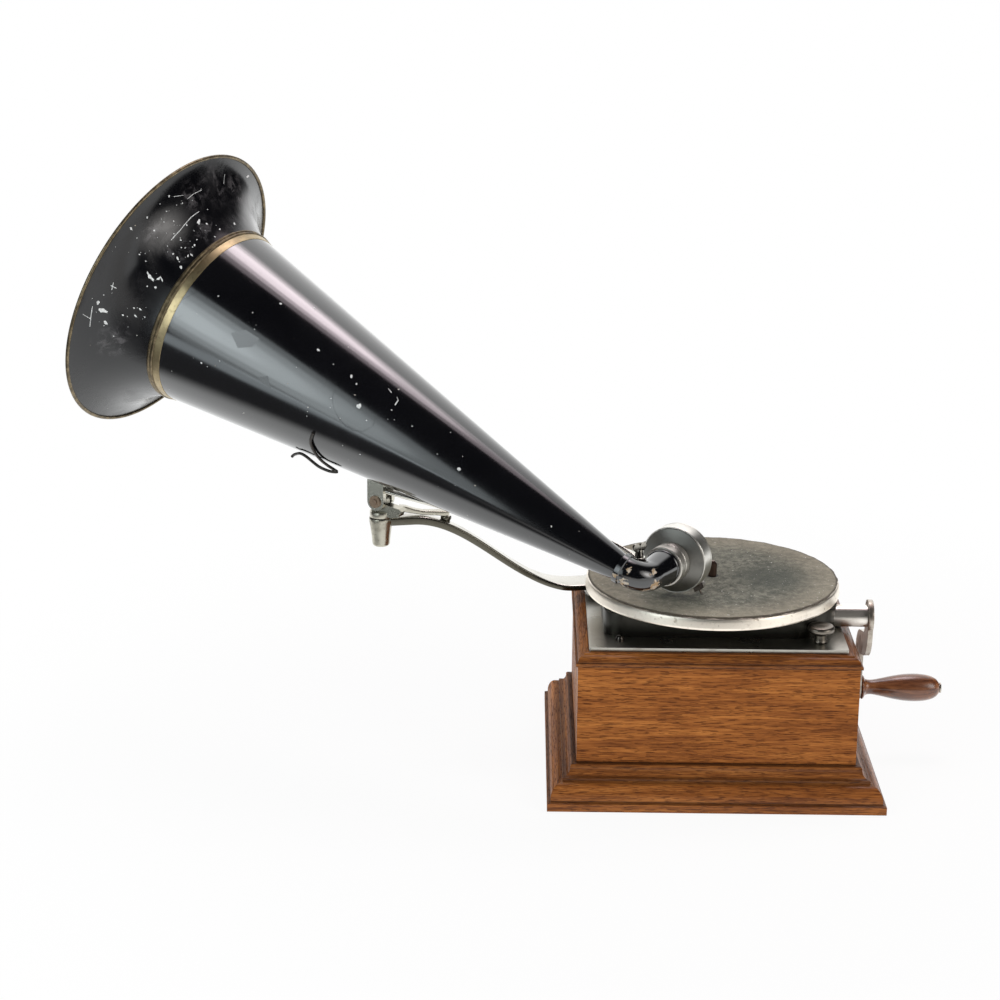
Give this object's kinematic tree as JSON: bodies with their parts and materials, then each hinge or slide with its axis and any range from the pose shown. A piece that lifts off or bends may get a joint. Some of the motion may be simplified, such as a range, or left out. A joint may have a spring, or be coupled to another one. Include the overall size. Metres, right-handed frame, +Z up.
{
  "type": "gramophone",
  "caption": "Front-mount disc gramophone: oak case on a moulded plinth, nickel bed plate, felt turntable, side crank and a black horn that travels with its sound box.",
  "frame": {"origin": "centre of the plinth's underside, on the turntable's axis", "axes": "+X to the crank, -Y to the side seen from the front, +Z up along the spindle"},
  "size_m": [0.7087, 0.3365, 0.4745],
  "materials": {
    "case_wood": "satin varnished oak",
    "handle_wood": "gloss varnished hardwood",
    "nickel": "worn nickel plate",
    "steel": "plain turned steel",
    "brass": "satin",
    "felt": "worn felt",
    "horn_japan": "gloss black japan",
    "elbow_japan": "gloss black japan, chipped",
    "mica": "clear mica sheet",
    "gasket_rubber": "matte"
  },
  "bodies": {
    "base": {"base_strip_front": "case_wood", "base_strip_back": "case_wood", "base_strip_left": "case_wood", "base_strip_right": "case_wood", "case_front": "case_wood", "case_back": "case_wood", "case_left": "case_wood", "case_right": "case_wood", "top_strip_front": "case_wood", "top_strip_back": "case_wood", "top_strip_left": "case_wood", "top_strip_right": "case_wood", "bottom_board": "case_wood", "bed_plate": "nickel", "motor_housing": "nickel", "plate_bolts": "steel", "motor_base": "steel", "motor_pillars": "steel", "crank_sleeve": "nickel", "lever_bracket": "steel", "support_arm": "nickel", "arm_screws": "steel"},
    "turntable": {"turntable": "nickel", "turntable_felt": "felt", "centre_washer": "steel", "spindle": "steel", "spindle_wheel": "brass"},
    "second": {"second_arbor": "steel", "second_wheel": "brass"},
    "barrel": {"spring_barrel": "brass", "barrel_lid": "brass", "mainspring": "steel"},
    "winder": {"winding_arbor": "steel", "crown_gear": "brass"},
    "governor": {"governor_shaft": "steel", "governor_springs": "steel", "governor_weights": "brass", "governor_disc": "brass"},
    "crank": {"crank_shaft": "steel", "crank_arm": "nickel"},
    "handle": {"crank_handle": "handle_wood"},
    "speed": {"speed_screw": "nickel"},
    "lever": {"speed_lever": "steel"},
    "swivel": {"swivel_head": "nickel"},
    "horn": {"horn_carrier": "nickel", "tilt_pin": "steel", "travelling_bar": "nickel", "elbow": "elbow_japan", "horn_cone": "horn_japan", "horn_bell": "horn_japan", "horn_hook": "steel"},
    "wing": {"wing_screw": "nickel"},
    "sound_box": {"sound_box_shell": "nickel", "sound_box_collar": "nickel", "gaskets": "gasket_rubber", "diaphragm": "mica", "front_ring": "nickel", "stylus_bar": "steel", "needle": "steel"},
    "needle_clamp": {"needle_screw": "nickel"}
  },
  "joints": [
    {"name": "turntable_spin", "type": "hinge", "parent": "base", "child": "turntable", "pos_m": [0, 0, 0.15], "axis": [0, 0, 1], "continuous": true},
    {"name": "second_spin", "type": "hinge", "parent": "base", "child": "second", "pos_m": [0.03434, 0.01506, 0.08], "axis": [0, 0, 1], "continuous": true},
    {"name": "barrel_spin", "type": "hinge", "parent": "base", "child": "barrel", "pos_m": [0.048, -0.032, 0.065], "axis": [0, 0, 1], "continuous": true},
    {"name": "governor_spin", "type": "hinge", "parent": "base", "child": "governor", "pos_m": [-0.03458, -0.01259, 0.08], "axis": [0, 0, 1], "continuous": true},
    {"name": "crank_turn", "type": "hinge", "parent": "base", "child": "crank", "pos_m": [0.12, -0.032, 0.133], "axis": [1, 0, 0], "continuous": true},
    {"name": "winder_spin", "type": "hinge", "parent": "base", "child": "winder", "pos_m": [0.048, -0.032, 0.1], "axis": [0, 0, 1], "continuous": true},
    {"name": "handle_spin", "type": "hinge", "parent": "crank", "child": "handle", "pos_m": [0.157, 0.0106, 0.056], "axis": [1, 0, 0], "continuous": true},
    {"name": "speed_turn", "type": "hinge", "parent": "base", "child": "speed", "pos_m": [0.08, -0.069, 0.128], "axis": [0, 0, 1], "range_deg": [-180, 45]},
    {"name": "lever_tilt", "type": "hinge", "parent": "base", "child": "lever", "pos_m": [0.03336, -0.05099, 0.0994], "axis": [-0.3602, -0.9329, 0], "range_deg": [-0.6, 0.15]},
    {"name": "horn_swing", "type": "hinge", "parent": "base", "child": "swivel", "pos_m": [-0.2658, 0.0078, 0.19], "axis": [0, 0, 1], "range_deg": [-20, 7]},
    {"name": "horn_tilt", "type": "hinge", "parent": "swivel", "child": "horn", "pos_m": [-0.2658, 0.0078, 0.213], "axis": [-0.4924, -0.8704, 0], "range_deg": [0, 14]},
    {"name": "wing_screw_turn", "type": "hinge", "parent": "horn", "child": "wing", "pos_m": [-0.06334, -0.08028, 0.2], "axis": [0, 0, 1], "range_deg": [-180, 180]},
    {"name": "sound_box_turn", "type": "hinge", "parent": "horn", "child": "sound_box", "pos_m": [-0.0355, -0.057, 0.186], "axis": [0.4617, 0.887, 0], "range_deg": [-90, 0]},
    {"name": "needle_screw_turn", "type": "hinge", "parent": "sound_box", "child": "needle_clamp", "pos_m": [-0.01482, -0.04803, 0.1614], "axis": [0.4617, 0.887, 0], "range_deg": [-180, 180]}
  ],
  "couplings": [
    {"joint": "second_spin", "follows": "turntable_spin", "ratio": -0.25},
    {"joint": "barrel_spin", "follows": "turntable_spin", "ratio": 0.041667},
    {"joint": "governor_spin", "follows": "turntable_spin", "ratio": -6.6667},
    {"joint": "winder_spin", "follows": "crank_turn", "ratio": 0.33333},
    {"joint": "lever_tilt", "follows": "speed_turn", "ratio": 0.00318}
  ]
}
